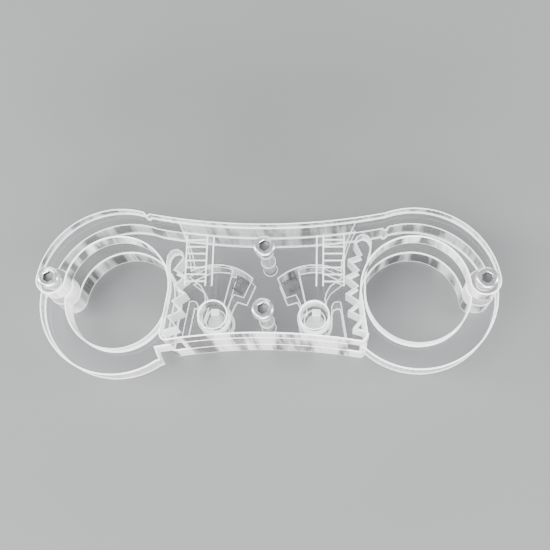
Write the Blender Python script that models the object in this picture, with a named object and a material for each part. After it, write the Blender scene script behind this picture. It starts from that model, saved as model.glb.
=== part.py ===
"""A see-through pair of rigid practice handcuffs, built from cut acrylic sheet and steel screws.

Two plates clamp a middle core between them. Each plate has two arms that curve over the wrist
openings to a pivot screw. Between the arm ends a toothed bow turns on each pivot screw. In the
core a sprung pawl on each side drops into the bow's teeth. Here both pawls are held lifted, as the
key holds them, so that the bows swing freely.

Z = 0 is the underside of the back plate, X = 0 the plane midway between the two pivots, and the
line through both pivots is Y = 0. Lengths below are in millimetres.
"""

import math

import bmesh
import bpy
from mathutils import Matrix, Vector

MM = 0.001
GAP = 0.3

# Sheet thicknesses, from the table up.
BACK_THICK = 13.5
MIDDLE_SPACE = 15.0
FRONT_THICK = 9.5
MIDDLE_BOTTOM = BACK_THICK
MIDDLE_TOP = BACK_THICK + MIDDLE_SPACE
TOP = MIDDLE_TOP + FRONT_THICK

# Places on the right-hand side. The left-hand side mirrors them.
PIVOT = Vector((100.0, 0.0))
HUB = Vector((23.1, -16.7))
ARM_CENTRE = Vector((68.8, -3.8))
ARM_HALF_WIDTH = 7.1
ARM_MIDDLE_RADIUS = (PIVOT - ARM_CENTRE).length

# The waist of the case: two shallow arcs, and a rounded lower corner.
FAR_Y = 27.1
FAR_RADIUS = 294.0
FAR_CENTRE = Vector((0.0, FAR_Y + FAR_RADIUS))
NEAR_Y = -25.2
NEAR_RADIUS = 278.0
NEAR_CENTRE = Vector((0.0, NEAR_Y - NEAR_RADIUS))
CORNER_X = 44.2
CORNER_RADIUS = 3.1
CORNER_TURN = 6.0
WALL_LEAVES_ARC = 185.0
NICK = (Vector((0.2, -0.8)), Vector((1.2, -0.7)))
NICK_TURN = 3.9

# Screws, washers and pins.
CLAMP_Y = {"upper_clamp_screw": 15.0, "lower_clamp_screw": -14.7}
SCREW_HOLE_RADIUS = 3.3
SHANK_RADIUS = 3.0
HEAD_RADIUS = 5.0
HEAD_HEIGHT = 4.0
HEAD_EDGE = 0.5
HEX_ACROSS = 4.5
HEX_DEPTH = 2.6
SCREW_END = 3.0
WASHER_RADIUS = 6.8
WASHER_THICK = 0.9
KEYHOLE_RADIUS = 6.35

# Key post: a round foot that the pawl turns on, and a block on it that only the right key clears.
POST_RADIUS = 4.2
POST_FOOT_TOP = 22.0
POST_BLOCK = (3.7, 3.0)
POST_BLOCK_PLACE = Vector((0.9, 1.6))
POST_TOP = TOP - 2.0
POST_EDGE = 0.4

# Bow: a band bent round the wrist, then a toothed stretch concentric with the pivot.
BOW_THICK = MIDDLE_SPACE - 2 * WASHER_THICK - 4 * GAP
BOW_CENTRE = Vector((70.8, -3.0))
BOW_END_RADIUS = 7.4
BOW_OUTER_RADIUS = (PIVOT - BOW_CENTRE).length + BOW_END_RADIUS
BOW_INNER_RADIUS = 24.1
TOOTHED_INNER_RADIUS = 53.4
ROOT_RADIUS = 57.5
TIP_RADIUS = 63.0
TOOTH_PITCH = 7.6
TOOTH_COUNT = 6
STEEP_FLANK = 3.3
CAUGHT_ROOT = 181.9
ROOTS_ABOVE_CATCH = 2
BOW_NOSE = 156.7
NOSE_SHOULDER = ((0.9, 2.3), (0.6, 5.1))
NOSE_ROUND = ((1.2, 2.1), (3.8, 0.0), (6.6, 0.1))
INNER_CURVES_MEET = 182.0
RIGHT_BOW_SWING = -1.1
LEFT_BOW_SWING = RIGHT_BOW_SWING + TOOTH_PITCH

# Core, with the pawl's cavity cut into each side.
CHANNEL_RADIUS = 65.0
CAVITY_RADIUS = 25.4
CAVITY_END = 132.0
SPRING_SEAT = Vector((-13.2, 9.9))
LEDGE = (Vector((-8.6, 11.4)), Vector((-6.9, 8.2)))
POCKET_RADIUS = 7.5
POCKET_START = 140.0
FINGER = (Vector((7.6, 5.6)), Vector((8.6, 7.6)), Vector((10.2, 8.2)), Vector((12.1, 7.9)))
RELIEF_FOOT_X = 38.2

# Pawl, drawn in its engaged position round the hub, then turned by PAWL_LIFT.
PAWL_THICK = 13.8
PAWL_LIFT = 18.0
PAWL_HUB_RADIUS = 7.2
PAWL_BORE_RADIUS = 4.6
PAWL_TIP = Vector((18.65, 14.85))
PAWL_ARC_RADIUS = 24.9
PAWL_SHOULDER = 64.0
PAWL_BACK = 91.0
PAWL_HUB_LEFT = 107.0
PAWL_UNDERSIDE = (Vector((11.6, 12.3)), Vector((8.9, 9.7)), Vector((7.5, 7.3)), Vector((7.2, 4.4)))
BIT_NOTCH = 200.0
BIT_HALF_WIDTH = 16.0
BIT_RADIUS = 6.0

# Spring between the cavity's end wall and the pawl's back.
SPRING_PATH_RADIUS = 20.9
SPRING_COIL_RADIUS = 3.4
WIRE_RADIUS = 0.35
SPRING_TURNS = 6
SPRING_START = 130.0
SPRING_END = 112.5
STEPS_PER_TURN = 16

ARC_STEP = 2.2
MIRROR = Vector((-1.0, 1.0))


def clear_scene():
    for item in list(bpy.data.objects):
        bpy.data.objects.remove(item, do_unlink=True)


def material(name, colour, roughness, metallic=0.0, transmission=0.0):
    made = bpy.data.materials.new(name)
    made.use_nodes = True
    shader = made.node_tree.nodes["Principled BSDF"]
    shader.inputs["Base Color"].default_value = (*colour, 1.0)
    shader.inputs["Roughness"].default_value = roughness
    shader.inputs["Metallic"].default_value = metallic
    shader.inputs["Transmission Weight"].default_value = transmission
    return made


# Outlines


def polar(radius, degrees, centre=Vector((0.0, 0.0))):
    angle = math.radians(degrees)
    return centre + radius * Vector((math.cos(angle), math.sin(angle)))


def degrees_of(point, centre):
    return math.degrees(math.atan2(point.y - centre.y, point.x - centre.x)) % 360.0


def arc(centre, radius, start, end):
    """Points from start to end degrees, both included, turning whichever way end lies."""
    count = max(2, math.ceil(abs(math.radians(end - start)) * radius / ARC_STEP))
    return [polar(radius, start + (end - start) * i / count, centre) for i in range(count + 1)]


def circle(centre, radius, count=32):
    return [polar(radius, 360.0 * i / count, centre) for i in range(count)]


def crossing(centre_a, radius_a, centre_b, radius_b, upper):
    """Where two circles cross: the upper or the lower of the two points."""
    between = centre_b - centre_a
    along = (radius_a**2 - radius_b**2 + between.length_squared) / (2 * between.length)
    across = math.sqrt(radius_a**2 - along**2)
    unit = between.normalized()
    side = Vector((-unit.y, unit.x))
    found = [centre_a + along * unit + across * side, centre_a + along * unit - across * side]
    return max(found, key=lambda p: p.y) if upper else min(found, key=lambda p: p.y)


def both_halves(right_half):
    """The right half, from the upper to the lower point on X = 0, closed by its mirror image."""
    left_half = [point * MIRROR for point in reversed(right_half[1:-1])]
    return right_half + left_half


def far_edge(end):
    return arc(FAR_CENTRE, FAR_RADIUS, 270.0, degrees_of(end, FAR_CENTRE))


def near_edge(start):
    return arc(NEAR_CENTRE, NEAR_RADIUS, degrees_of(start, NEAR_CENTRE), 90.0)


def plate_half(nicked):
    outer = ARM_MIDDLE_RADIUS + ARM_HALF_WIDTH
    inner = ARM_MIDDLE_RADIUS - ARM_HALF_WIDTH
    to_pivot = degrees_of(PIVOT, ARM_CENTRE)
    cusp = crossing(FAR_CENTRE, FAR_RADIUS, ARM_CENTRE, outer, upper=False)
    arm_start = degrees_of(cusp, ARM_CENTRE)
    reach = NEAR_RADIUS + CORNER_RADIUS
    corner = Vector((CORNER_X, NEAR_CENTRE.y + math.sqrt(reach**2 - CORNER_X**2)))
    edge_turn = degrees_of(NEAR_CENTRE, corner) - 360.0
    half = far_edge(cusp)
    if nicked:
        half += [cusp + point for point in NICK]
    half += arc(ARM_CENTRE, outer, arm_start - NICK_TURN * nicked, to_pivot)[not nicked:-1]
    half += arc(PIVOT, ARM_HALF_WIDTH, to_pivot, to_pivot - 180.0)[:-1]
    half += arc(ARM_CENTRE, inner, to_pivot, WALL_LEAVES_ARC)
    half += arc(corner, CORNER_RADIUS, CORNER_TURN, edge_turn)[:-1]
    return half + near_edge(corner)


def plate_outline(nick_side):
    """The plate's outline. The arm on nick_side, 1 or -1, has a small nick where it meets the waist."""
    right, left = plate_half(nick_side > 0), plate_half(nick_side < 0)
    return right + [point * MIRROR for point in reversed(left[1:-1])]


def core_outline():
    top = crossing(FAR_CENTRE, FAR_RADIUS, PIVOT, CHANNEL_RADIUS, upper=False)
    mouth = crossing(HUB, CAVITY_RADIUS, PIVOT, CHANNEL_RADIUS, upper=True)
    foot_y = NEAR_CENTRE.y + math.sqrt(NEAR_RADIUS**2 - RELIEF_FOOT_X**2)
    foot = Vector((RELIEF_FOOT_X, foot_y))
    half = far_edge(top)[:-1]
    half += arc(PIVOT, CHANNEL_RADIUS, degrees_of(top, PIVOT), degrees_of(mouth, PIVOT))[:-1]
    half += arc(HUB, CAVITY_RADIUS, degrees_of(mouth, HUB), CAVITY_END)
    half += [HUB + SPRING_SEAT]
    half += [HUB + point for point in LEDGE]
    half += arc(HUB, POCKET_RADIUS, POCKET_START, 360.0)
    half += [HUB + point for point in FINGER]
    half += near_edge(foot)
    return both_halves(half)


def bow_outline():
    """The right-hand bow, relative to its pivot."""
    centre = BOW_CENTRE - PIVOT
    axis = Vector((0.0, 0.0))
    first_root = CAUGHT_ROOT - ROOTS_ABOVE_CATCH * TOOTH_PITCH
    last_tip = polar(TIP_RADIUS, first_root + (TOOTH_COUNT - 1) * TOOTH_PITCH + STEEP_FLANK)
    to_pivot = degrees_of(axis, centre)
    outline = [polar(TIP_RADIUS - inside, BOW_NOSE + turn) for inside, turn in NOSE_SHOULDER]
    for tooth in range(TOOTH_COUNT):
        root = first_root + tooth * TOOTH_PITCH
        outline.append(polar(ROOT_RADIUS, root))
        outline.append(polar(TIP_RADIUS, root + STEEP_FLANK))
    outer_start = degrees_of(last_tip, centre) + 3.0
    end_inner = crossing(centre, BOW_INNER_RADIUS, axis, BOW_END_RADIUS, upper=False)
    outline += arc(centre, BOW_OUTER_RADIUS, outer_start, to_pivot + 360.0)
    outline += arc(axis, BOW_END_RADIUS, to_pivot, degrees_of(end_inner, axis))[1:]
    outline += arc(centre, BOW_INNER_RADIUS, degrees_of(end_inner, centre), INNER_CURVES_MEET)[1:]
    outline += arc(axis, TOOTHED_INNER_RADIUS, INNER_CURVES_MEET - 0.5, BOW_NOSE + 6.5)
    return outline + [polar(TOOTHED_INNER_RADIUS + out, BOW_NOSE + turn) for out, turn in NOSE_ROUND]


def pawl_outline():
    """The right-hand pawl in its engaged position, relative to its hub."""
    axis = Vector((0.0, 0.0))
    outline = arc(axis, PAWL_ARC_RADIUS, PAWL_SHOULDER, PAWL_BACK)
    outline += arc(axis, PAWL_HUB_RADIUS, PAWL_HUB_LEFT, 360.0)
    outline += reversed(PAWL_UNDERSIDE)
    outline.append(PAWL_TIP)
    return outline


def pawl_bore():
    """The hub's bore, with the notch that the key's bit turns."""
    start = BIT_NOTCH + BIT_HALF_WIDTH
    axis = Vector((0.0, 0.0))
    bore = arc(axis, PAWL_BORE_RADIUS, start, start + 360.0 - 2 * BIT_HALF_WIDTH)
    return bore + [polar(BIT_RADIUS, BIT_NOTCH - 12.0), polar(BIT_RADIUS, BIT_NOTCH + 12.0)]


# Solids


def turned_outline(outline, degrees):
    spin = Matrix.Rotation(math.radians(degrees), 2)
    return [spin @ point for point in outline]


def sheet(name, outlines, bottom, top, look, place=Vector((0.0, 0.0)), mirrored=False):
    """A cut sheet: closed outlines, the first one outside and the rest holes, between two heights."""
    data = bpy.data.curves.new(name, "CURVE")
    data.dimensions = "2D"
    data.fill_mode = "BOTH"
    data.extrude = (top - bottom) / 2 * MM
    for outline in outlines:
        points = [point * MIRROR for point in outline] if mirrored else outline
        spline = data.splines.new("POLY")
        spline.points.add(len(points) - 1)
        spline.use_cyclic_u = True
        for control, point in zip(spline.points, points):
            control.co = (point.x * MM, point.y * MM, 0.0, 1.0)
    data.materials.append(look)
    made = bpy.data.objects.new(name, data)
    spot = place * MIRROR if mirrored else place
    made.location = (spot.x * MM, spot.y * MM, (bottom + top) / 2 * MM)
    bpy.context.scene.collection.objects.link(made)
    return made


def lathe(name, profile, look, sides=32):
    """A turned piece round Z: (radius, height) pairs from the lower to the upper axis point."""
    data = bpy.data.meshes.new(name)
    build = bmesh.new()
    rows = []
    for radius, height in profile:
        if radius == 0.0:
            rows.append([build.verts.new((0.0, 0.0, height * MM))] * sides)
            continue
        ring = circle(Vector((0.0, 0.0)), radius, sides)
        rows.append([build.verts.new((p.x * MM, p.y * MM, height * MM)) for p in ring])
    for low, high in zip(rows, rows[1:]):
        for i in range(sides):
            j = (i + 1) % sides
            corners = list(dict.fromkeys((low[i], low[j], high[j], high[i])))
            build.faces.new(corners)
    build.to_mesh(data)
    build.free()
    data.shade_smooth()
    data.set_sharp_from_angle(angle=math.radians(30.0))
    data.materials.append(look)
    made = bpy.data.objects.new(name, data)
    bpy.context.scene.collection.objects.link(made)
    return made


def hex_cutter(name):
    """The socket of a screw head, standing on its floor and reaching past the head's face."""
    data = bpy.data.meshes.new(name)
    build = bmesh.new()
    radius = HEX_ACROSS / math.sqrt(3.0) * MM
    height = (HEX_DEPTH + 1.0) * MM
    bmesh.ops.create_cone(
        build, cap_ends=True, segments=6, radius1=radius, radius2=radius, depth=height
    )
    build.to_mesh(data)
    build.free()
    made = bpy.data.objects.new(name, data)
    made.hide_render = True
    made.display_type = "WIRE"
    bpy.context.scene.collection.objects.link(made)
    return made


def screw(name, place, look):
    """A socket-head screw through all three layers, its head on the front plate."""
    seat = TOP + GAP
    profile = [
        (0.0, SCREW_END),
        (SHANK_RADIUS - HEAD_EDGE, SCREW_END),
        (SHANK_RADIUS, SCREW_END + HEAD_EDGE),
        (SHANK_RADIUS, seat),
        (HEAD_RADIUS, seat),
        (HEAD_RADIUS, seat + HEAD_HEIGHT - HEAD_EDGE),
        (HEAD_RADIUS - HEAD_EDGE, seat + HEAD_HEIGHT),
        (0.0, seat + HEAD_HEIGHT),
    ]
    made = lathe(name, profile, look)
    made.location = (place.x * MM, place.y * MM, 0.0)
    cutter = hex_cutter(name + "_socket")
    cutter.parent = made
    cutter.location = (0.0, 0.0, (seat + HEAD_HEIGHT - HEX_DEPTH / 2 + 0.5) * MM)
    cut = made.modifiers.new("socket", "BOOLEAN")
    cut.object = cutter
    cut.operation = "DIFFERENCE"
    cut.solver = "EXACT"
    return made


def post_block(name):
    """The block that stands on a key post's foot, sunk into it by the width of the foot's edge."""
    data = bpy.data.meshes.new(name)
    build = bmesh.new()
    bmesh.ops.create_cube(build, size=MM)
    build.to_mesh(data)
    build.free()
    made = bpy.data.objects.new(name, data)
    made.hide_render = True
    made.display_type = "WIRE"
    bottom = POST_FOOT_TOP - POST_EDGE
    made.scale = (*POST_BLOCK, POST_TOP - bottom)
    made.location = (*(POST_BLOCK_PLACE * MM), (POST_TOP + bottom) / 2 * MM)
    bpy.context.scene.collection.objects.link(made)
    return made


def key_post(name, place, look):
    profile = [(0.0, GAP), (POST_RADIUS, GAP), (POST_RADIUS, POST_FOOT_TOP - POST_EDGE)]
    profile += [(POST_RADIUS - POST_EDGE, POST_FOOT_TOP), (0.0, POST_FOOT_TOP)]
    made = lathe(name, profile, look)
    made.location = (place.x * MM, place.y * MM, 0.0)
    block = post_block(name + "_block")
    block.parent = made
    joined = made.modifiers.new("block", "BOOLEAN")
    joined.object = block
    joined.operation = "UNION"
    joined.solver = "EXACT"
    return made


def spring(name, look, mirrored):
    """A coil spring bent along an arc round the hub."""
    data = bpy.data.curves.new(name, "CURVE")
    data.dimensions = "3D"
    data.bevel_depth = WIRE_RADIUS * MM
    data.bevel_resolution = 1
    data.use_fill_caps = True
    count = SPRING_TURNS * STEPS_PER_TURN
    spline = data.splines.new("POLY")
    spline.points.add(count)
    for i, control in enumerate(spline.points):
        turn = 2 * math.pi * i / STEPS_PER_TURN
        along = SPRING_START + (SPRING_END - SPRING_START) * i / count
        radius = SPRING_PATH_RADIUS + SPRING_COIL_RADIUS * math.cos(turn)
        spot = polar(radius, along, HUB)
        height = (MIDDLE_BOTTOM + MIDDLE_TOP) / 2 + SPRING_COIL_RADIUS * math.sin(turn)
        x = -spot.x if mirrored else spot.x
        control.co = (x * MM, spot.y * MM, height * MM, 1.0)
    data.materials.append(look)
    made = bpy.data.objects.new(name, data)
    bpy.context.scene.collection.objects.link(made)
    return made


# Pieces


def screw_holes():
    places = [Vector((0.0, y)) for y in CLAMP_Y.values()] + [PIVOT, PIVOT * MIRROR]
    return [circle(place, SCREW_HOLE_RADIUS) for place in places]


def make_plates(acrylic):
    keyholes = [circle(place, KEYHOLE_RADIUS, 40) for place in (HUB, HUB * MIRROR)]
    post_holes = [circle(place, POST_RADIUS + GAP) for place in (HUB, HUB * MIRROR)]
    front = [plate_outline(-1)] + screw_holes() + keyholes
    back = [plate_outline(1)] + screw_holes() + post_holes
    sheet("front_plate", front, MIDDLE_TOP, TOP, acrylic["front"])
    sheet("back_plate", back, 0.0, BACK_THICK, acrylic["back"])


def make_core(acrylic):
    clamp_holes = [circle(Vector((0.0, y)), SCREW_HOLE_RADIUS) for y in CLAMP_Y.values()]
    outlines = [core_outline()] + clamp_holes
    sheet("lock_core", outlines, MIDDLE_BOTTOM + GAP, MIDDLE_TOP - GAP, acrylic["core"])


def make_side(side, mirrored, acrylic, looks):
    low = MIDDLE_BOTTOM + 2 * GAP + WASHER_THICK
    swing = LEFT_BOW_SWING if mirrored else RIGHT_BOW_SWING
    outlines = [turned_outline(bow_outline(), swing), circle(Vector((0.0, 0.0)), SCREW_HOLE_RADIUS)]
    sheet(f"{side}_bow", outlines, low, low + BOW_THICK, acrylic["bow"], PIVOT, mirrored)
    lift = [turned_outline(line, PAWL_LIFT) for line in (pawl_outline(), pawl_bore())]
    floor = MIDDLE_BOTTOM + GAP
    sheet(f"{side}_pawl", lift, floor, floor + PAWL_THICK, acrylic["pawl"], HUB, mirrored)
    spring(f"{side}_pawl_spring", looks["wire"], mirrored)
    ring = [circle(Vector((0.0, 0.0)), WASHER_RADIUS), circle(Vector((0.0, 0.0)), SCREW_HOLE_RADIUS)]
    for level, bottom in (("lower", MIDDLE_BOTTOM + GAP), ("upper", low + BOW_THICK + GAP)):
        name = f"{side}_{level}_pivot_washer"
        sheet(name, ring, bottom, bottom + WASHER_THICK, looks["nylon"], PIVOT, mirrored)
    key_post(f"{side}_key_post", HUB * MIRROR if mirrored else HUB, looks["post"])
    screw(f"{side}_pivot_screw", PIVOT * MIRROR if mirrored else PIVOT, looks["steel"])


def main():
    clear_scene()
    tints = {
        "front": (0.90, 0.95, 0.97),
        "back": (0.84, 0.90, 0.93),
        "core": (0.87, 0.92, 0.95),
        "bow": (0.90, 0.94, 0.96),
        "pawl": (0.88, 0.93, 0.95),
    }
    acrylic = {key: material(f"acrylic_{key}", tint, 0.05, 0.0, 0.9) for key, tint in tints.items()}
    looks = {
        "steel": material("plated_steel", (0.62, 0.63, 0.64), 0.28, 1.0),
        "wire": material("spring_wire", (0.72, 0.73, 0.74), 0.22, 1.0),
        "nylon": material("nylon_washer", (0.92, 0.92, 0.90), 0.35),
        "post": material("frosted_acrylic", (0.90, 0.92, 0.93), 0.5),
    }
    make_plates(acrylic)
    make_core(acrylic)
    for side, mirrored in (("right", False), ("left", True)):
        make_side(side, mirrored, acrylic, looks)
    for name, y in CLAMP_Y.items():
        screw(name, Vector((0.0, y)), looks["steel"])


main()
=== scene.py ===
"""The looks of a see-through pair of rigid practice handcuffs.

Every cut sheet is built again with fine curves, small chamfers, polished faces and bright rims, whose
brightness is a painted highlight and glow.
The screws, key posts and springs are built again as turned, threaded and coiled pieces.
Lengths are in millimetres until a mesh is made, and in metres after that. Angles are in degrees.
The side pieces are drawn for the right side, and all but the posts' blocks are mirrored for the left.
"""

import math

import bmesh
import bpy
from mathutils import Matrix, Vector
from mathutils.geometry import tessellate_polygon


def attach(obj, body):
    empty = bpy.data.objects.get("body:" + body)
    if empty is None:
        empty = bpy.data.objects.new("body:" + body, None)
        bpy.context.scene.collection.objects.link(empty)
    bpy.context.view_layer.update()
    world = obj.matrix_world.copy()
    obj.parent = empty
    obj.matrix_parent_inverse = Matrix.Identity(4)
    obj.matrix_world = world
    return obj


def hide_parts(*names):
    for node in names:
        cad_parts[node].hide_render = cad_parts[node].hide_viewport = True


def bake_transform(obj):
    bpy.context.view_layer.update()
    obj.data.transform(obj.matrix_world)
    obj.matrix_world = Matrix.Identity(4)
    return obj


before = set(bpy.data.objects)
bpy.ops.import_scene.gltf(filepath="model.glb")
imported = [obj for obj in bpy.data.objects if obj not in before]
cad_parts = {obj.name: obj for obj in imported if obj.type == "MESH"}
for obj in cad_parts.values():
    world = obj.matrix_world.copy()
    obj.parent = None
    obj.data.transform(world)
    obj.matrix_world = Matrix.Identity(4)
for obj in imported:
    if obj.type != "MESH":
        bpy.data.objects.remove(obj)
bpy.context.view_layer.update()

MM = 0.001

# Heights of the layers, and the places of the axes
GAP = 0.3
BACK_THICK = 13.5
MIDDLE_SPACE = 15.0
FRONT_THICK = 9.5
MIDDLE_BOTTOM = BACK_THICK
MIDDLE_TOP = BACK_THICK + MIDDLE_SPACE
TOP = MIDDLE_TOP + FRONT_THICK
ORIGIN = Vector((0.0, 0.0))
PIVOT = Vector((100.0, 0.0))
HUB = Vector((23.1, -16.7))
CLAMP_PLACE = {
    "upper_clamp_screw": Vector((0.0, 15.0)),
    "lower_clamp_screw": Vector((0.0, -14.7)),
}

# Case plates: two arms that run into a waist
ARM_CENTRE = Vector((68.8, -3.8))
ARM_HALF_WIDTH = 7.1
ARM_MIDDLE_RADIUS = (PIVOT - ARM_CENTRE).length
FAR_RADIUS = 294.0
FAR_CENTRE = Vector((0.0, 27.1 + FAR_RADIUS))
NEAR_RADIUS = 278.0
NEAR_CENTRE = Vector((0.0, -25.2 - NEAR_RADIUS))
CORNER_X = 44.2
CORNER_RADIUS = 3.1
CORNER_TURN = 6.0
WALL_LEAVES_ARC = 185.0
# The nick's corners, from where the arm meets the waist, and the stretch of the arm that it takes.
NICK = (Vector((0.2, -0.8)), Vector((1.2, -0.7)))
NICK_TURN = 3.9
SCREW_HOLE_RADIUS = 3.3
KEYHOLE_RADIUS = 6.35
SMALL_HOLE_ACROSS = 9.5

# Key posts: a round foot with a block on it
POST_RADIUS = 4.2
POST_FOOT_TOP = 22.0
POST_FOOT_BEVEL = 0.3
POST_FOOT_ROUND = 0.4
POST_FROST_DEPTH = 0.5
POST_SIDES = 64
POST_BLOCK = Vector((3.7, 3.0))
POST_BLOCK_PLACE = Vector((0.9, 1.6))
POST_BLOCK_CORNER = 0.25
POST_BLOCK_CHAMFER = 0.2
POST_BLOCK_SUNK = 0.2
POST_TOP = TOP - 2.0

# Washers and bows, with the bows' angles measured at the pivot
WASHER_RADIUS = 6.8
WASHER_THICK = 0.9
BOW_THICK = MIDDLE_SPACE - 2 * WASHER_THICK - 4 * GAP
BOW_BOTTOM = MIDDLE_BOTTOM + 2 * GAP + WASHER_THICK
BOW_CENTRE = Vector((70.8, -3.0))
BOW_END_RADIUS = 7.4
BOW_OUTER_RADIUS = (PIVOT - BOW_CENTRE).length + BOW_END_RADIUS
BOW_OUTER_SLACK = 0.2
BOW_INNER_RADIUS = 24.1
TOOTHED_INNER_RADIUS = 53.4
ROOT_RADIUS = 57.5
TIP_RADIUS = 63.0
TOOTH_PITCH = 7.6
TOOTH_COUNT = 6
STEEP_FLANK = 3.3
CAUGHT_ROOT = 181.9
ROOTS_ABOVE_CATCH = 2
BOW_NOSE = 156.7
NOSE_SHOULDER = ((0.9, 2.3), (0.6, 5.1))
NOSE_ROUND = ((1.2, 2.1), (3.8, 0.0), (6.6, 0.1))
NOSE_TURN = 6.5
INNER_CURVES_MEET = 182.0
INNER_CURVES_GAP = 0.5
OUTER_CURVE_LEAD = 3.0
BOW_SWING = {"right": -1.1, "left": -1.1 + TOOTH_PITCH}

# Core and pawls, with their corner points measured from the hub
CHANNEL_RADIUS = 65.0
CAVITY_RADIUS = 25.4
CAVITY_END = 132.0
CORE_ARC_SLACK = 0.1
SPRING_SEAT = Vector((-13.2, 9.9))
LEDGE = (Vector((-8.6, 11.4)), Vector((-6.9, 8.2)))
POCKET_RADIUS = 7.5
POCKET_START = 140.0
FINGER = (Vector((7.6, 5.6)), Vector((8.6, 7.6)), Vector((10.2, 8.2)), Vector((12.1, 7.9)))
RELIEF_FOOT_X = 38.2
PAWL_THICK = 13.8
PAWL_LIFT = 18.0
PAWL_HUB_RADIUS = 7.2
PAWL_BORE_RADIUS = 4.6
PAWL_TIP = Vector((18.65, 14.85))
PAWL_ARC_RADIUS = 24.9
PAWL_SHOULDER = 64.0
PAWL_BACK = 91.0
PAWL_HUB_LEFT = 107.0
PAWL_UNDERSIDE = (Vector((11.6, 12.3)), Vector((8.9, 9.7)), Vector((7.5, 7.3)), Vector((7.2, 4.4)))
BIT_NOTCH = 200.0
BIT_HALF_WIDTH = 16.0
BIT_HALF_FLOOR = 12.0
BIT_RADIUS = 6.0

# Springs
SPRING_PATH_RADIUS = 20.9
SPRING_COIL_RADIUS = 3.4
WIRE_RADIUS = 0.27
SPRING_TURNS = 6
SPRING_STEPS = 40
SPRING_START = 130.0
SPRING_END = 112.5
SPRING_HEIGHT = (MIDDLE_BOTTOM + MIDDLE_TOP) / 2

# Screws
SCREW_SIDES = 72
SCREW_END = 3.0
SHANK_RADIUS = 3.0
SHANK_BEVEL = 0.7
THREAD_DEPTH = 0.45
THREAD_PITCH = 1.0
THREAD_RINGS = 5
THREAD_BOTTOM = SCREW_END + 1.0
THREAD_TOP = 26.0
THREAD_RUN_OUT = 2.0
HEAD_RADIUS = 5.0
HEAD_HEIGHT = 4.0
HEAD_ROUND = 1.3
HEAD_BEVEL = 0.3
HEAD_DISH = 0.12
HEX_ACROSS = 4.5
HEX_DEPTH = 2.6
HEX_LEAD = 0.25
HEX_LEAD_DEPTH = 0.3
HEX_CONE_DEPTH = 0.5

# Cut edges: the chamfer, and the band of the face beside it, which takes the rim's painted highlight
CHAMFER = 0.3
RIM_BAND = 0.3
THIN_BAND = 0.1
WASHER_CHAMFER = 0.15

# Ornament on the front plate: three rails, with rungs between the last two
RAIL_X = (24.0, 27.0, 36.5)
RAIL_Y = (-3.0, 21.0)
RUNG_COUNT = 7
RUNG_INSET = 2.0
GROOVE = 0.62
GROOVE_DEPTH = 0.15
GROOVE_PROUD = 0.02
GROOVE_CHAMFER = 0.015

# How outlines are drawn
ARC_STEP = 0.7
MERGE_GAP = 0.01
STEEPEST_MITRE = 0.45
MIRROR = Vector((-1.0, 1.0))
SQUARE = ((1, 1), (-1, 1), (-1, -1), (1, -1))
SIDES = (("right", False), ("left", True))

# Where each material is in a cut sheet's list
FACE, WALL, RIM, CLEAR_WALL = range(4)

ACRYLIC_IOR = 1.49

# Stage, in metres, but the lens and the sensor in millimetres
FLOOR_HALF = 4.0
FLOOR_HEIGHT = -0.0002
# Painted light: the floor's far colour, pale where the lamps leave it dark.
FLOOR_FAR_PAINTED_LIGHT = (0.86, 0.87, 0.88)
LIT_SPOT = Vector((0.0, 0.0, 0.02))
CAMERA_LENS = 55.64
CAMERA_SENSOR = 36.0
CAMERA_PLACE = (0.03454, -0.10812, 0.40995)
CAMERA_RIGHT = Vector((0.99712, 0.02283, -0.07239))
CAMERA_BACK = Vector((0.07589, -0.28311, 0.95608))


# Materials


def shader_of(name):
    """A new material, its node tree and its Principled shader."""
    made = bpy.data.materials.new(name)
    made.use_nodes = True
    return made, made.node_tree, made.node_tree.nodes["Principled BSDF"]


def noise_node(tree, scale, detail, stretch=(1.0, 1.0, 1.0)):
    """Noise fixed to the object, squeezed along each axis by stretch."""
    where = tree.nodes.new("ShaderNodeTexCoord")
    spread = tree.nodes.new("ShaderNodeMapping")
    spread.inputs["Scale"].default_value = stretch
    made = tree.nodes.new("ShaderNodeTexNoise")
    made.inputs["Scale"].default_value = scale
    made.inputs["Detail"].default_value = detail
    tree.links.new(where.outputs["Object"], spread.inputs["Vector"])
    tree.links.new(spread.outputs["Vector"], made.inputs["Vector"])
    return made


def ranged(tree, source, low, high, from_low=0.35, from_high=0.65):
    """The source's stretch from from_low to from_high, spread from low to high."""
    made = tree.nodes.new("ShaderNodeMapRange")
    made.inputs["From Min"].default_value = from_low
    made.inputs["From Max"].default_value = from_high
    made.inputs["To Min"].default_value = low
    made.inputs["To Max"].default_value = high
    tree.links.new(source, made.inputs["Value"])
    return made.outputs["Result"]


def blended(tree, factor, first, second):
    """A mix of two colours."""
    made = tree.nodes.new("ShaderNodeMix")
    made.data_type = "RGBA"
    made.inputs["A"].default_value = (*first, 1.0)
    made.inputs["B"].default_value = (*second, 1.0)
    tree.links.new(factor, made.inputs["Factor"])
    return made.outputs["Result"]


def bumped(tree, shader, height, strength, distance):
    """Relief that follows height, up to distance in metres."""
    made = tree.nodes.new("ShaderNodeBump")
    made.inputs["Strength"].default_value = strength
    made.inputs["Distance"].default_value = distance
    tree.links.new(height, made.inputs["Height"])
    tree.links.new(made.outputs["Normal"], shader.inputs["Normal"])


def clear_face(name, tint, solid=True):
    """Polished acrylic: clear, with a little dust. Where it isn't solid, it only veils the view."""
    made, tree, shader = shader_of(name)
    shader.inputs["IOR"].default_value = ACRYLIC_IOR
    shader.inputs["Roughness"].default_value = 0.015
    dust = noise_node(tree, scale=900.0, detail=2.0)
    speck = ranged(tree, dust.outputs["Fac"], 0.0, 1.0, from_low=0.70, from_high=0.76)
    dusty = tuple(c * 0.80 for c in tint)
    tree.links.new(blended(tree, speck, tint, dusty), shader.inputs["Base Color"])
    if solid:
        shader.inputs["Transmission Weight"].default_value = 1.0
    else:
        shader.inputs["Alpha"].default_value = 0.07
    waves = noise_node(tree, scale=35.0, detail=1.0)
    bumped(tree, shader, waves.outputs["Fac"], strength=0.10, distance=0.0004)
    return made


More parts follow.
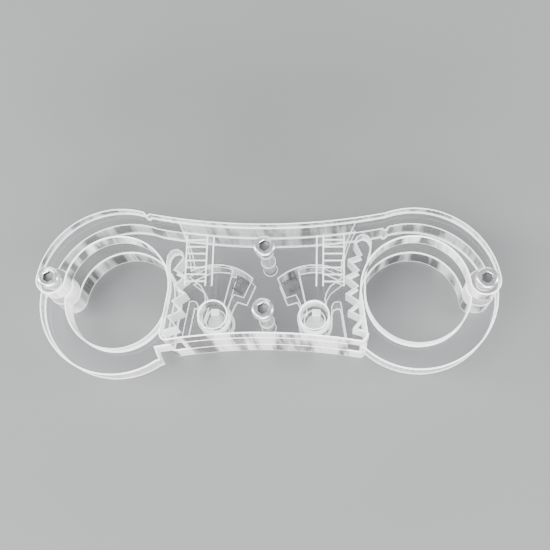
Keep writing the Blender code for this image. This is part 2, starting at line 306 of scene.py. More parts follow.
def add_painted_emission(tree, shader, colour, strength):
    """Painted glow: emission in the surface's own colour, standing in for the light that the sheet's
    faces lead to its cut edge.
    """
    tree.links.new(colour, shader.inputs["Emission Color"])
    shader.inputs["Emission Strength"].default_value = strength


def cut_wall(name, tint, dullest, painted_glow):
    """A laser-cut wall: white and satin, with streaks across the sheet and duller bands, and a
    painted glow in its own colour.
    """
    made, tree, shader = shader_of(name)
    shader.inputs["Transmission Weight"].default_value = 0.22
    shader.inputs["IOR"].default_value = ACRYLIC_IOR
    lines = noise_node(tree, scale=1.0, detail=2.0, stretch=(1500.0, 1500.0, 25.0))
    patches = noise_node(tree, scale=1.0, detail=3.0, stretch=(130.0, 130.0, 12.0))
    shade = ranged(tree, patches.outputs["Fac"], 0.0, 1.0, from_low=0.40, from_high=0.56)
    dull = tuple(c * dullest for c in tint)
    colour = blended(tree, shade, dull, tint)
    tree.links.new(colour, shader.inputs["Base Color"])
    tree.links.new(ranged(tree, lines.outputs["Fac"], 0.12, 0.28), shader.inputs["Roughness"])
    # Painted glow in the wall's own colour, brightest on its bright patches.
    add_painted_emission(tree, shader, colour, painted_glow)
    bumped(tree, shader, lines.outputs["Fac"], strength=0.10, distance=0.0001)
    return made


def clear_wall(name, tint, veil, painted_glow):
    """A wall that only veils what is behind it, between bright rims, with a faint painted glow."""
    made, tree, shader = shader_of(name)
    lines = noise_node(tree, scale=1.0, detail=2.0, stretch=(1200.0, 1200.0, 20.0))
    dull = tuple(c * 0.7 for c in tint)
    colour = blended(tree, ranged(tree, lines.outputs["Fac"], 0.0, 1.0), dull, tint)
    tree.links.new(colour, shader.inputs["Base Color"])
    shader.inputs["Alpha"].default_value = veil
    shader.inputs["Roughness"].default_value = 0.2
    add_painted_emission(tree, shader, colour, painted_glow)
    bumped(tree, shader, lines.outputs["Fac"], strength=0.10, distance=0.0001)
    return made


def painted_highlight_rim(name, tint):
    """The melted rim along a cut: a white line round every sheet, kept bright by a strong painted
    glow, a painted highlight along every edge.
    """
    made, tree, shader = shader_of(name)
    grain = noise_node(tree, scale=700.0, detail=2.0)
    dull = tuple(c * 0.86 for c in tint)
    colour = blended(tree, grain.outputs["Fac"], dull, tint)
    tree.links.new(colour, shader.inputs["Base Color"])
    tree.links.new(ranged(tree, grain.outputs["Fac"], 0.22, 0.42), shader.inputs["Roughness"])
    shader.inputs["Transmission Weight"].default_value = 0.05
    shader.inputs["IOR"].default_value = ACRYLIC_IOR
    # Painted highlight: a strong glow that keeps every rim bright white.
    add_painted_emission(tree, shader, colour, strength=1.6)
    bumped(tree, shader, grain.outputs["Fac"], strength=0.2, distance=0.00005)
    return made


def frosted(name, painted_glow):
    """Roughened acrylic: the engraved lines, and the key posts, with a painted glow."""
    made, tree, shader = shader_of(name)
    grain = noise_node(tree, scale=2600.0, detail=3.0)
    white = blended(tree, grain.outputs["Fac"], (0.84, 0.86, 0.87), (0.97, 0.98, 0.98))
    tree.links.new(white, shader.inputs["Base Color"])
    shader.inputs["Roughness"].default_value = 0.7
    add_painted_emission(tree, shader, white, painted_glow)
    bumped(tree, shader, grain.outputs["Fac"], strength=0.5, distance=0.0001)
    return made


def steel(name, colour, rough, scale):
    """Steel with fine marks, in its colour and its roughness."""
    made, tree, shader = shader_of(name)
    shader.inputs["Metallic"].default_value = 1.0
    marks = noise_node(tree, scale, detail=3.0)
    dark = tuple(c * 0.92 for c in colour)
    tree.links.new(blended(tree, marks.outputs["Fac"], dark, colour), shader.inputs["Base Color"])
    worn = ranged(tree, marks.outputs["Fac"], rough * 0.8, rough * 1.25)
    tree.links.new(worn, shader.inputs["Roughness"])
    bumped(tree, shader, marks.outputs["Fac"], strength=0.03, distance=0.00002)
    return made


def nylon(name):
    """Milky plastic that light sinks into a little, its off-white greyed down as painted shade for
    the gaps beside the bow's end.
    """
    made, tree, shader = shader_of(name)
    cloud = noise_node(tree, scale=400.0, detail=3.0)
    # Off-white nylon, partly greyed as painted shade, so the washers show as dark arcs.
    milk_and_painted_shade = blended(tree, cloud.outputs["Fac"], (0.62, 0.62, 0.60), (0.76, 0.76, 0.74))
    tree.links.new(milk_and_painted_shade, shader.inputs["Base Color"])
    shader.inputs["Roughness"].default_value = 0.38
    shader.inputs["Subsurface Weight"].default_value = 0.25
    shader.inputs["Subsurface Scale"].default_value = 0.001
    bumped(tree, shader, cloud.outputs["Fac"], strength=0.2, distance=0.00005)
    return made


# Outlines


def polar(radius, degrees, centre=ORIGIN):
    """The point at this distance and direction from the centre."""
    angle = math.radians(degrees)
    return centre + radius * Vector((math.cos(angle), math.sin(angle)))


def degrees_of(point, centre):
    """The direction of the point from the centre."""
    return math.degrees(math.atan2(point.y - centre.y, point.x - centre.x)) % 360.0


def arc(centre, radius, start, end):
    """Points along an arc, with both its ends."""
    count = max(2, math.ceil(abs(math.radians(end - start)) * radius / ARC_STEP))
    return [polar(radius, start + (end - start) * i / count, centre) for i in range(count + 1)]


def circle(centre, radius, count=64):
    return [polar(radius, 360.0 * i / count, centre) for i in range(count)]


def crossing(centre_a, radius_a, centre_b, radius_b, upper):
    """The upper or lower point where two circles cross."""
    between = centre_b - centre_a
    along = (radius_a**2 - radius_b**2 + between.length_squared) / (2 * between.length)
    across = math.sqrt(radius_a**2 - along**2)
    unit = between.normalized()
    side = Vector((-unit.y, unit.x))
    found = [centre_a + along * unit + across * side, centre_a + along * unit - across * side]
    found.sort(key=lambda point: point.y)
    return found[1] if upper else found[0]


def both_halves(right_half, left_half):
    """A closed outline. Each half is drawn on the right, and starts and ends on the middle line."""
    return right_half + [point * MIRROR for point in reversed(left_half[1:-1])]


def far_edge(end):
    """The waist's far edge, from the middle line to end."""
    return arc(FAR_CENTRE, FAR_RADIUS, 270.0, degrees_of(end, FAR_CENTRE))


def near_edge(start):
    """The waist's near edge, from start to the middle line."""
    return arc(NEAR_CENTRE, NEAR_RADIUS, degrees_of(start, NEAR_CENTRE), 90.0)


def plate_half(nicked):
    """Half a plate: the far edge, the arm's two sides round the pivot, and the near edge."""
    outer = ARM_MIDDLE_RADIUS + ARM_HALF_WIDTH
    inner = ARM_MIDDLE_RADIUS - ARM_HALF_WIDTH
    to_pivot = degrees_of(PIVOT, ARM_CENTRE)
    cusp = crossing(FAR_CENTRE, FAR_RADIUS, ARM_CENTRE, outer, upper=False)
    arm_start = degrees_of(cusp, ARM_CENTRE)
    reach = NEAR_RADIUS + CORNER_RADIUS
    corner = Vector((CORNER_X, NEAR_CENTRE.y + math.sqrt(reach**2 - CORNER_X**2)))
    edge_turn = degrees_of(NEAR_CENTRE, corner) - 360.0
    half = far_edge(cusp)
    if nicked:
        half += [cusp + point for point in NICK]
        half += arc(ARM_CENTRE, outer, arm_start - NICK_TURN, to_pivot)[:-1]
    else:
        half += arc(ARM_CENTRE, outer, arm_start, to_pivot)[1:-1]
    half += arc(PIVOT, ARM_HALF_WIDTH, to_pivot, to_pivot - 180.0)[:-1]
    half += arc(ARM_CENTRE, inner, to_pivot, WALL_LEAVES_ARC)
    half += arc(corner, CORNER_RADIUS, CORNER_TURN, edge_turn)[:-1]
    return half + near_edge(corner)


def plate_outline(nicked_side):
    """The plate's outline, with a small nick where the arm on nicked_side meets the waist."""
    return both_halves(plate_half(nicked_side == "right"), plate_half(nicked_side == "left"))


def core_outline():
    """The core: two long edges, with a bow's channel, a pawl's cavity and a relief at each end."""
    top = crossing(FAR_CENTRE, FAR_RADIUS, PIVOT, CHANNEL_RADIUS, upper=False)
    mouth = crossing(HUB, CAVITY_RADIUS, PIVOT, CHANNEL_RADIUS, upper=True)
    foot_y = NEAR_CENTRE.y + math.sqrt(NEAR_RADIUS**2 - RELIEF_FOOT_X**2)
    half = far_edge(top)[:-1]
    half += arc(PIVOT, CHANNEL_RADIUS, degrees_of(top, PIVOT), degrees_of(mouth, PIVOT))[:-1]
    half += arc(HUB, CAVITY_RADIUS, degrees_of(mouth, HUB), CAVITY_END)
    half += [HUB + SPRING_SEAT]
    half += [HUB + point for point in LEDGE]
    half += arc(HUB, POCKET_RADIUS, POCKET_START, 360.0)
    half += [HUB + point for point in FINGER]
    half += near_edge(Vector((RELIEF_FOOT_X, foot_y)))
    return both_halves(half, half)


def bow_outline():
    """The bow, with its pivot at the origin: the nose, the teeth, the outer curve and the inner."""
    centre = BOW_CENTRE - PIVOT
    first_root = CAUGHT_ROOT - ROOTS_ABOVE_CATCH * TOOTH_PITCH
    last_tip = polar(TIP_RADIUS, first_root + (TOOTH_COUNT - 1) * TOOTH_PITCH + STEEP_FLANK)
    to_pivot = degrees_of(ORIGIN, centre)
    outline = [polar(TIP_RADIUS - inside, BOW_NOSE + turn) for inside, turn in NOSE_SHOULDER]
    for tooth in range(TOOTH_COUNT):
        root = first_root + tooth * TOOTH_PITCH
        outline.append(polar(ROOT_RADIUS, root))
        outline.append(polar(TIP_RADIUS, root + STEEP_FLANK))
    outer_start = degrees_of(last_tip, centre) + OUTER_CURVE_LEAD
    end_inner = crossing(centre, BOW_INNER_RADIUS, ORIGIN, BOW_END_RADIUS, upper=False)
    outline += arc(centre, BOW_OUTER_RADIUS, outer_start, to_pivot + 360.0)
    outline += arc(ORIGIN, BOW_END_RADIUS, to_pivot, degrees_of(end_inner, ORIGIN))[1:]
    outline += arc(centre, BOW_INNER_RADIUS, degrees_of(end_inner, centre), INNER_CURVES_MEET)[1:]
    toothed_start = INNER_CURVES_MEET - INNER_CURVES_GAP
    outline += arc(ORIGIN, TOOTHED_INNER_RADIUS, toothed_start, BOW_NOSE + NOSE_TURN)
    for outward, turn in NOSE_ROUND:
        outline.append(polar(TOOTHED_INNER_RADIUS + outward, BOW_NOSE + turn))
    return outline


def pawl_outline():
    """The pawl, with its hub at the origin: a sector, the hub, the underside and the tip."""
    outline = arc(ORIGIN, PAWL_ARC_RADIUS, PAWL_SHOULDER, PAWL_BACK)
    outline += arc(ORIGIN, PAWL_HUB_RADIUS, PAWL_HUB_LEFT, 360.0)
    outline += reversed(PAWL_UNDERSIDE)
    outline.append(PAWL_TIP)
    return outline


def pawl_bore():
    """The pawl's bore, with a notch for the key's bit."""
    start = BIT_NOTCH + BIT_HALF_WIDTH
    bore = arc(ORIGIN, PAWL_BORE_RADIUS, start, start + 360.0 - 2 * BIT_HALF_WIDTH)
    for turn in (-BIT_HALF_FLOOR, BIT_HALF_FLOOR):
        bore.append(polar(BIT_RADIUS, BIT_NOTCH + turn))
    return bore


def placed(outline, turn, place, mirrored):
    """The outline turned and moved to its place, and mirrored for the left side."""
    spin = Matrix.Rotation(math.radians(turn), 2)
    moved = [spin @ point + place for point in outline]
    return [point * MIRROR for point in moved] if mirrored else moved


# Solids


def signed_area(loop):
    """The loop's area, above zero where it runs anticlockwise."""
    pairs = zip(loop, loop[1:] + loop[:1])
    return sum(a.x * b.y - b.x * a.y for a, b in pairs) / 2


def cleaned(loop):
    """The loop without the points that are no further than MERGE_GAP from the one before."""
    return [p for i, p in enumerate(loop) if (p - loop[i - 1]).length > MERGE_GAP]


def inset(loop, distance):
    """The loop moved to its left by distance, with corners mitred."""
    moved = []
    count = len(loop)
    for i, point in enumerate(loop):
        before = (point - loop[i - 1]).normalized()
        after = (loop[(i + 1) % count] - point).normalized()
        normal = Vector((-before.y - after.y, before.x + after.x)).normalized()
        slope = max(STEEPEST_MITRE, normal.x * -before.y + normal.y * before.x)
        moved.append(point + normal * distance / slope)
    return moved


def look_of_strip(part, clear, number, loop):
    """Which of a sheet's materials a strip of its edge takes. Loops after the first are holes."""
    in_hole = number > 0
    if part == "wall" or (part == "wall band" and in_hole):
        return CLEAR_WALL if clear else WALL
    across = (loop[0] - loop[len(loop) // 2]).length
    if part == "band" and in_hole and clear and across < SMALL_HOLE_ACROSS:
        return FACE
    # Chamfers and bands take the rim's painted highlight.
    return RIM


def make_sheet(
    name,
    outlines,
    bottom,
    top,
    looks,
    body,
    node,
    chamfer=CHAMFER,
    band=RIM_BAND,
    clear=None,
    stands_for=True,
):
    """A cut sheet with chamfered rims, whose first outline is the outside and the others holes.

    looks holds the materials of faces, walls and rims, and the rims' material is a painted highlight.
    Each rim is the chamfer and a band of the face beside it, and the outside's lower one has a band
    of the wall too, a painted reflection along the bottom contour.
    Where clear(outline's number, spot) holds, the wall takes a fourth material, and a small hole
    there has no band.
    """
    loops = []
    for number, outline in enumerate(outlines):
        loop = cleaned(outline)
        if (signed_area(loop) > 0) != (number == 0):
            loop.reverse()
        loops.append(loop)
    levels = [(bottom, chamfer), (bottom + chamfer, 0.0), (top - chamfer, 0.0), (top, chamfer)]
    parts = ["rim", "wall", "rim"]
    if band:
        levels.insert(2, (bottom + chamfer + band, 0.0))
        levels = [(bottom, chamfer + band)] + levels + [(top, chamfer + band)]
        parts = ["band", "rim", "wall band", "wall", "rim", "band"]
    build = bmesh.new()
    rings = []
    for height, inward in levels:
        rows = []
        for loop in loops:
            line = inset(loop, inward) if inward else loop
            rows.append([build.verts.new((p.x * MM, p.y * MM, height * MM)) for p in line])
        rings.append(rows)
    for part, low, high in zip(parts, rings, rings[1:]):
        for number, loop in enumerate(loops):
            row_low, row_high = low[number], high[number]
            for i, spot in enumerate(loop):
                j = (i + 1) % len(loop)
                face = build.faces.new((row_low[i], row_low[j], row_high[j], row_high[i]))
                is_clear = clear is not None and clear(number, (spot + loop[j]) / 2)
                face.material_index = look_of_strip(part, is_clear, number, loop)
    for rows, upward in ((rings[0], False), (rings[-1], True)):
        flat = [vert for row in rows for vert in row]
        for a, b, c in tessellate_polygon([[vert.co for vert in row] for row in rows]):
            face = build.faces.new((flat[a], flat[b], flat[c]))
            face.normal_update()
            if (face.normal.z > 0) != upward:
                face.normal_flip()
    finish_piece(name, build, looks, body, node, stands_for)


def finish_piece(name, build, looks, body, node, stands_for=True, sharp_from=30.0):
    """A piece that rides on a body, with the given looks. It stands for node or adds to it."""
    data = bpy.data.meshes.new(name)
    build.to_mesh(data)
    build.free()
    for look in looks:
        data.materials.append(look)
    data.shade_smooth()
    data.set_sharp_from_angle(angle=math.radians(sharp_from))
    made = bpy.data.objects.new(name, data)
    bpy.context.scene.collection.objects.link(made)
    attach(made, body)
    if stands_for:
        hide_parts(node)


def strip(build, low, high, material=0):
    """A closed strip of faces between two rows of corners, either of which may be one point."""
    for i in range(len(low)):
        j = (i + 1) % len(low)
        corners = list(dict.fromkeys((low[i], low[j], high[j], high[i])))
        build.faces.new(corners).material_index = material


def rounded_edge(radius, top, size, steps):
    """A quarter round from a turned piece's side to its top, as (radius, height) pairs."""
    turns = [math.radians(90.0 * step / steps) for step in range(steps + 1)]
    return [(radius - size + size * math.cos(t), top - size + size * math.sin(t)) for t in turns]


def revolve(build, profile, place, sides, radius_at=None):
    """Faces of a turned piece from (radius, height) pairs, lower to upper."""
    rows = []
    for radius, height in profile:
        if radius == 0.0:
            tip = build.verts.new((place.x * MM, place.y * MM, height * MM))
            rows.append([tip] * sides)
            continue
        row = []
        for i in range(sides):
            turn = 360.0 * i / sides
            reach = radius_at(radius, height, turn) if radius_at else radius
            spot = polar(reach, turn, place)
            row.append(build.verts.new((spot.x * MM, spot.y * MM, height * MM)))
        rows.append(row)
    for low, high in zip(rows, rows[1:]):
        strip(build, low, high)


def threaded(radius, height, turn):
    """The screw's radius. Its thread is a wave that climbs one pitch each turn and fades out."""
    if not THREAD_BOTTOM < height < THREAD_TOP:
        return radius
    phase = (height / THREAD_PITCH - turn / 360.0) % 1.0
    fade = min(1.0, (THREAD_TOP - height) / THREAD_RUN_OUT, height - THREAD_BOTTOM)
    return radius - THREAD_DEPTH * fade * abs(2.0 * phase - 1.0)


def shank_profile(seat):
    """A bevelled end, close rings for the thread, and a plain stretch up to the head's seat."""
    bevel = [(SHANK_RADIUS - SHANK_BEVEL, SCREW_END), (SHANK_RADIUS, SCREW_END + SHANK_BEVEL)]
    profile = [(0.0, SCREW_END)] + bevel
    height = THREAD_BOTTOM
    while height < THREAD_TOP:
        profile.append((SHANK_RADIUS, height))
        height += THREAD_PITCH / THREAD_RINGS
    return profile + [(SHANK_RADIUS, THREAD_TOP), (SHANK_RADIUS, seat)]


def head_profile(seat):
    """A low head: a broad rounded shoulder round a slightly dished face."""
    top = seat + HEAD_HEIGHT
    profile = [(HEAD_RADIUS - HEAD_BEVEL, seat), (HEAD_RADIUS, seat + HEAD_BEVEL)]
    profile += rounded_edge(HEAD_RADIUS, top, HEAD_ROUND, steps=8)
    return profile + [(HEAD_RADIUS - HEAD_ROUND - HEAD_BEVEL, top - HEAD_DISH)]


def hexagon(build, place, height, across):
    """A row of corners round a hexagon, one for each side of a screw's circle."""
    row = []
    for i in range(SCREW_SIDES):
        turn = 360.0 * i / SCREW_SIDES
        from_middle_of_flat = (turn + 30.0) % 60.0 - 30.0
        reach = across / 2 / math.cos(math.radians(from_middle_of_flat))
        spot = polar(reach, turn, place)
        row.append(build.verts.new((spot.x * MM, spot.y * MM, height * MM)))
    return row


def make_screw(name, place, looks):
    """A low socket-head screw with its thread, rounded shoulder and hexagon socket."""
    build = bmesh.new()
    seat = TOP + GAP
    face = seat + HEAD_HEIGHT - HEAD_DISH
    revolve(build, shank_profile(seat) + head_profile(seat), place, SCREW_SIDES, threaded)
    rim = list(build.verts)[-SCREW_SIDES:]
    lead = hexagon(build, place, face, HEX_ACROSS + 2 * HEX_LEAD)
    mouth = hexagon(build, place, face - HEX_LEAD_DEPTH, HEX_ACROSS)
    floor = hexagon(build, place, face - HEX_DEPTH, HEX_ACROSS)
    deepest = face - HEX_DEPTH - HEX_CONE_DEPTH
    cone = build.verts.new((place.x * MM, place.y * MM, deepest * MM))
    strip(build, rim, lead)
    strip(build, lead, mouth)
    # The hexagon socket's walls and floor take the darker steel: painted shade in the recess.
    strip(build, mouth, floor, material=1)
    strip(build, floor, [cone] * SCREW_SIDES, material=1)
    finish_piece(name + "_turned", build, looks, "case", name, sharp_from=28.0)


def block_outline(place):
    """A key post's block seen from above, with its corners cut. It is offset the same way in both."""
    half = POST_BLOCK / 2
    centre = place + POST_BLOCK_PLACE
    outline = []
    for x, y in SQUARE:
        corner = centre + Vector((x * half.x, y * half.y))
        along_x = corner - Vector((x * POST_BLOCK_CORNER, 0.0))
        along_y = corner - Vector((0.0, y * POST_BLOCK_CORNER))
        outline += [along_y, along_x] if x * y > 0 else [along_x, along_y]
    return outline


def make_post(name, place, looks):
    """A key post: a clear turned foot with a frosted top, and a frosted block on it."""
    frost, rim, clear = looks
    build = bmesh.new()
    bevel = [(POST_RADIUS - POST_FOOT_BEVEL, GAP), (POST_RADIUS, GAP + POST_FOOT_BEVEL)]
    profile = [(0.0, GAP)] + bevel
    profile += rounded_edge(POST_RADIUS, POST_FOOT_TOP, POST_FOOT_ROUND, steps=5)
    profile.append((0.0, POST_FOOT_TOP))
    revolve(build, profile, place, POST_SIDES)
    for face in build.faces:
        if face.calc_center_median().z < (POST_FOOT_TOP - POST_FROST_DEPTH) * MM:
            face.material_index = 1
    finish_piece(name + "_foot", build, (frost, clear), "case", name)
    make_sheet(
        name + "_block",
        [block_outline(place)],
        POST_FOOT_TOP - POST_BLOCK_SUNK,
        POST_TOP,
        (frost, frost, rim),
        "case",
        name,
        chamfer=POST_BLOCK_CHAMFER,
        band=0.0,
    )


def coil_line(name, mirrored):
    """The spring's wire as a bevelled curve: a helix bent along an arc round the hub."""
    data = bpy.data.curves.new(name, "CURVE")
    data.dimensions = "3D"
    data.bevel_depth = WIRE_RADIUS * MM
    data.bevel_resolution = 5
    data.use_fill_caps = True
    count = SPRING_TURNS * SPRING_STEPS
    line = data.splines.new("POLY")
    line.points.add(count)
    for i, control in enumerate(line.points):
        turn = 2 * math.pi * i / SPRING_STEPS
        along = SPRING_START + (SPRING_END - SPRING_START) * i / count
        spot = polar(SPRING_PATH_RADIUS + SPRING_COIL_RADIUS * math.cos(turn), along, HUB)
        height = SPRING_HEIGHT + SPRING_COIL_RADIUS * math.sin(turn)
        x = -spot.x if mirrored else spot.x
        control.co = (x * MM, spot.y * MM, height * MM, 1.0)
    return data


def make_spring(side, look, mirrored):
    """A pawl's spring, coiled along an arc from the cavity's wall to the pawl."""
    node = f"{side}_pawl_spring"
    line = bpy.data.objects.new(node + "_line", coil_line(node + "_line", mirrored))
    bpy.context.scene.collection.objects.link(line)
    evaluated = line.evaluated_get(bpy.context.evaluated_depsgraph_get())
    data = bpy.data.meshes.new_from_object(evaluated)
    bpy.data.objects.remove(line)
    data.materials.clear()
    data.materials.append(look)
    data.shade_smooth()
    made = bpy.data.objects.new(node + "_wire", data)
    bpy.context.scene.collection.objects.link(made)
    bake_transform(made)
    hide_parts(node)


# Pieces


def bar(a, b, half_width):
    """A straight groove with round ends, as a closed outline."""
    along = degrees_of(b, a)
    half_turn = [30.0 * i for i in range(7)]
    round_a = [polar(half_width, along + 90.0 + turn, a) for turn in half_turn]
    round_b = [polar(half_width, along - 90.0 + turn, b) for turn in half_turn]
    return round_a + round_b


def make_ornament(look):
    """A plain ruled ladder engraved on each side of the front plate."""
    near, far = RAIL_Y
    lines = [(Vector((x, near)), Vector((x, far))) for x in RAIL_X]
    for i in range(RUNG_COUNT):
        y = near + RUNG_INSET + (far - near - 2 * RUNG_INSET) * i / (RUNG_COUNT - 1)
        lines.append((Vector((RAIL_X[1], y)), Vector((RAIL_X[2], y))))
    for side, mirrored in SIDES:
        for number, (a, b) in enumerate(lines):
            make_sheet(
                f"{side}_ornament_{number:02d}",
                [placed(bar(a, b, GROOVE / 2), 0.0, ORIGIN, mirrored)],
                TOP - GROOVE_DEPTH,
                TOP + GROOVE_PROUD,
                (look,) * 3,
                "case",
                "front_plate",
                chamfer=GROOVE_CHAMFER,
                band=0.0,
                stands_for=False,
            )


def clear_in_front(number, spot):
    """Which walls of the front plate are clear: its screw holes, and each keyhole's near half.

    Outline 0 is the outside, 1 and 2 are the keyholes, and the rest are screw holes.
    """
    in_keyhole = number in (1, 2)
    return number > 2 or (in_keyhole and spot.y < HUB.y)


def clear_in_back(number, spot):
    """Which walls of the back plate are clear: those of its holes."""
    return number > 0


def clear_in_core(number, spot):
    """Which walls of the core are clear: all but its two long edges and the cavities' arcs."""
    arcs = (
        (FAR_CENTRE, FAR_RADIUS),
        (NEAR_CENTRE, NEAR_RADIUS),
        (HUB, CAVITY_RADIUS),
        (HUB * MIRROR, CAVITY_RADIUS),
    )
    on_arc = any(abs((spot - centre).length - reach) <= CORE_ARC_SLACK for centre, reach in arcs)
    return number > 0 or not on_arc


def make_case(looks):
    """The two plates and the core between them."""
    keyholes = [circle(place, KEYHOLE_RADIUS, count=96) for place in (HUB, HUB * MIRROR)]
    post_holes = [circle(place, POST_RADIUS + GAP, count=48) for place in (HUB, HUB * MIRROR)]
    clamp_holes = [circle(place, SCREW_HOLE_RADIUS) for place in CLAMP_PLACE.values()]
    pivot_holes = [circle(place, SCREW_HOLE_RADIUS) for place in (PIVOT, PIVOT * MIRROR)]
    front = [plate_outline("left")] + keyholes + clamp_holes + pivot_holes
    back = [plate_outline("right")] + post_holes + clamp_holes + pivot_holes
    core = [core_outline()] + clamp_holes
    core_bottom, core_top = MIDDLE_BOTTOM + GAP, MIDDLE_TOP - GAP
    layers = (
        ("front", "front_plate", front, MIDDLE_TOP, TOP, RIM_BAND, clear_in_front),
        ("back", "back_plate", back, 0.0, BACK_THICK, RIM_BAND, clear_in_back),
        ("core", "lock_core", core, core_bottom, core_top, THIN_BAND, clear_in_core),
    )
    for key, node, outlines, low, high, band, clear in layers:
        name = key + "_sheet"
        make_sheet(name, outlines, low, high, looks[key], "case", node, band=band, clear=clear)


def make_bow(side, mirrored, looks):
    """A bow, with its bore's and outer curve's walls half clear."""
    outlines = (bow_outline(), circle(ORIGIN, SCREW_HOLE_RADIUS))
    outlines = [placed(outline, BOW_SWING[side], PIVOT, mirrored) for outline in outlines]
    centre = placed([BOW_CENTRE - PIVOT], BOW_SWING[side], PIVOT, mirrored)[0]

    def half_clear(number, spot):
        return number > 0 or (spot - centre).length > BOW_OUTER_RADIUS - BOW_OUTER_SLACK

    name = f"{side}_bow"
    top = BOW_BOTTOM + BOW_THICK
    make_sheet(name + "_sheet", outlines, BOW_BOTTOM, top, looks, name, name, clear=half_clear)


def make_pawl(side, mirrored, looks):
    """A pawl, which is clear between its bright rims."""
    outlines = (pawl_outline(), pawl_bore())
    outlines = [placed(outline, PAWL_LIFT, HUB, mirrored) for outline in outlines]
    face, _, rim, clear = looks
    name = f"{side}_pawl"
    clear_looks = (face, clear, rim)
    bottom = MIDDLE_BOTTOM + GAP
    top = bottom + PAWL_THICK
    make_sheet(name + "_sheet", outlines, bottom, top, clear_looks, name, name, band=THIN_BAND)


def make_washers(side, mirrored, look):
    """The two washers above and below a bow, on its pivot screw."""
    outlines = (circle(ORIGIN, WASHER_RADIUS), circle(ORIGIN, SCREW_HOLE_RADIUS))
    outlines = [placed(outline, 0.0, PIVOT, mirrored) for outline in outlines]
    bottoms = {"lower": MIDDLE_BOTTOM + GAP, "upper": BOW_BOTTOM + BOW_THICK + GAP}
    for level, bottom in bottoms.items():
        node = f"{side}_{level}_pivot_washer"
        make_sheet(
            node + "_ring",
            outlines,
            bottom,
            bottom + WASHER_THICK,
            (look,) * 3,
            "case",
            node,
            chamfer=WASHER_CHAMFER,
            band=0.0,
        )


def make_side(side, mirrored, looks):
    """One side's bow, pawl and spring, with the post and the screw that they turn on."""
    make_bow(side, mirrored, looks["bow"])
    make_pawl(side, mirrored, looks["pawl"])
    make_spring(side, looks["wire"], mirrored)
    make_washers(side, mirrored, looks["nylon"])
    hub, pivot = (HUB * MIRROR, PIVOT * MIRROR) if mirrored else (HUB, PIVOT)
    make_post(f"{side}_key_post", hub, looks["post"])
    make_screw(f"{side}_pivot_screw", pivot, looks["screw"])


# Stage


def area_light(name, place, size, power):
    """A soft rectangular light, aimed at the object."""
    data = bpy.data.lights.new(name, "AREA")
    data.shape = "RECTANGLE"
    data.size, data.size_y = size
    data.energy = power
    made = bpy.data.objects.new(name, data)
    made.location = place
    made.rotation_euler = (LIT_SPOT - Vector(place)).to_track_quat("-Z", "Y").to_euler()
    bpy.context.scene.collection.objects.link(made)


def make_floor():
    """A pale grey floor painted paler with distance: painted light where the lamps leave the far
    floor dark, so that its far edge melts away.
    """
    made, tree, shader = shader_of("pale_floor")
    cloud = noise_node(tree, scale=6.0, detail=3.0)
    near = blended(tree, cloud.outputs["Fac"], (0.225, 0.228, 0.231), (0.245, 0.248, 0.251))
    where = tree.nodes.new("ShaderNodeTexCoord")
    reach = tree.nodes.new("ShaderNodeVectorMath")
    reach.operation = "LENGTH"
    tree.links.new(where.outputs["Object"], reach.inputs[0])
    # Painted light: the floor's colour fades to the pale far colour with distance.
    painted_light_fade = ranged(tree, reach.outputs["Value"], 0.0, 1.0, from_low=0.5, from_high=1.6)
    painted_far_light = blended(tree, painted_light_fade, FLOOR_FAR_PAINTED_LIGHT, FLOOR_FAR_PAINTED_LIGHT)
    # The mix starts from the near colour, which has its own clouds.
    tree.links.new(near, painted_far_light.node.inputs["A"])
    tree.links.new(painted_far_light, shader.inputs["Base Color"])
    shader.inputs["Roughness"].default_value = 0.8
    data = bpy.data.meshes.new("floor")
    corners = [(x * FLOOR_HALF, y * FLOOR_HALF, FLOOR_HEIGHT) for x, y in SQUARE]
    data.from_pydata(corners, [], [(0, 1, 2, 3)])
    data.materials.append(made)
    floor = bpy.data.objects.new("floor", data)
    bpy.context.scene.collection.objects.link(floor)


def make_stage():
    """The floor, an even sky and five soft lights."""
    make_floor()
    world = bpy.data.worlds.new("studio")
    world.use_nodes = True
    back = world.node_tree.nodes["Background"]
    back.inputs["Color"].default_value = (0.97, 0.98, 1.0, 1.0)
    back.inputs["Strength"].default_value = 0.66
    bpy.context.scene.world = world
    area_light("key", place=(-0.45, -0.25, 0.9), size=(0.5, 0.5), power=9.0)
    area_light("front", place=(0.1, -0.8, 0.26), size=(1.0, 0.22), power=18.0)
    area_light("back", place=(0.0, 0.8, 0.26), size=(1.0, 0.22), power=6.0)
    area_light("left", place=(-0.8, 0.0, 0.24), size=(0.22, 0.8), power=9.0)
    area_light("right", place=(0.8, 0.0, 0.24), size=(0.22, 0.8), power=8.0)


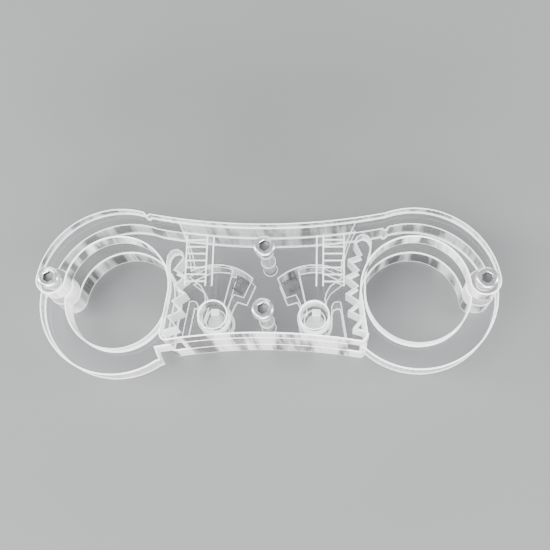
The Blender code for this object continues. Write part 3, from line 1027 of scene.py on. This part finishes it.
def make_camera():
    """The camera looks down at the object from slightly in front of it."""
    data = bpy.data.cameras.new("camera")
    data.sensor_width = CAMERA_SENSOR
    data.lens = CAMERA_LENS
    made = bpy.data.objects.new("camera", data)
    right = CAMERA_RIGHT.normalized()
    back = CAMERA_BACK.normalized()
    turn = Matrix((right, back.cross(right), back)).transposed().to_4x4()
    made.matrix_world = Matrix.Translation(CAMERA_PLACE) @ turn
    bpy.context.scene.collection.objects.link(made)
    bpy.context.scene.camera = made


def make_looks():
    """Every material. A large sheet takes four: for its faces, walls, rims and clear walls."""
    tints = {
        "front": (0.985, 0.99, 0.995),
        "back": (0.97, 0.98, 0.985),
        "core": (0.975, 0.985, 0.99),
        "bow": (0.975, 0.985, 0.99),
        "pawl": (0.97, 0.98, 0.985),
    }
    white = (0.97, 0.975, 0.98)
    # The rim material is a painted highlight round every cut edge.
    rim = painted_highlight_rim("painted_highlight_rim", white)
    # Painted glow: the walls, posts and engraving below glow though none is a lamp, and the bow's
    # bright wall glows most.
    clear = clear_wall("inner_wall", white, veil=0.12, painted_glow=0.10)
    half_clear = clear_wall("outer_wall", white, veil=0.45, painted_glow=0.25)
    streaked = cut_wall("streaked_wall", white, dullest=0.12, painted_glow=0.34)
    bright = cut_wall("bright_wall", white, dullest=0.85, painted_glow=0.5)
    looks = {}
    for key, tint in tints.items():
        face = clear_face(f"{key}_face", tint, solid=key not in ("core", "back"))
        walls = (bright, rim, half_clear) if key == "bow" else (streaked, rim, clear)
        looks[key] = (face, *walls)
    plated = steel("plated_steel", (0.86, 0.87, 0.88), rough=0.30, scale=700.0)
    # Painted shade: the socket steel is a darker copy of the plated steel, for the recess.
    socket = steel("socket_steel_painted_shade", (0.30, 0.30, 0.31), rough=0.45, scale=900.0)
    looks["screw"] = (plated, socket)
    looks["wire"] = steel("drawn_wire", (0.30, 0.31, 0.32), rough=0.22, scale=300.0)
    frost = frosted("frosted_acrylic", painted_glow=0.12)
    looks["post"] = (frost, rim, clear)
    looks["nylon"] = nylon("nylon")
    looks["engraving"] = frosted("engraving", painted_glow=0.7)
    return looks


def main():
    """Every piece and the stage."""
    looks = make_looks()
    make_case(looks)
    for side, mirrored in SIDES:
        make_side(side, mirrored, looks)
    for name, place in CLAMP_PLACE.items():
        make_screw(name, place, looks["screw"])
    make_ornament(looks["engraving"])
    make_stage()
    make_camera()


main()
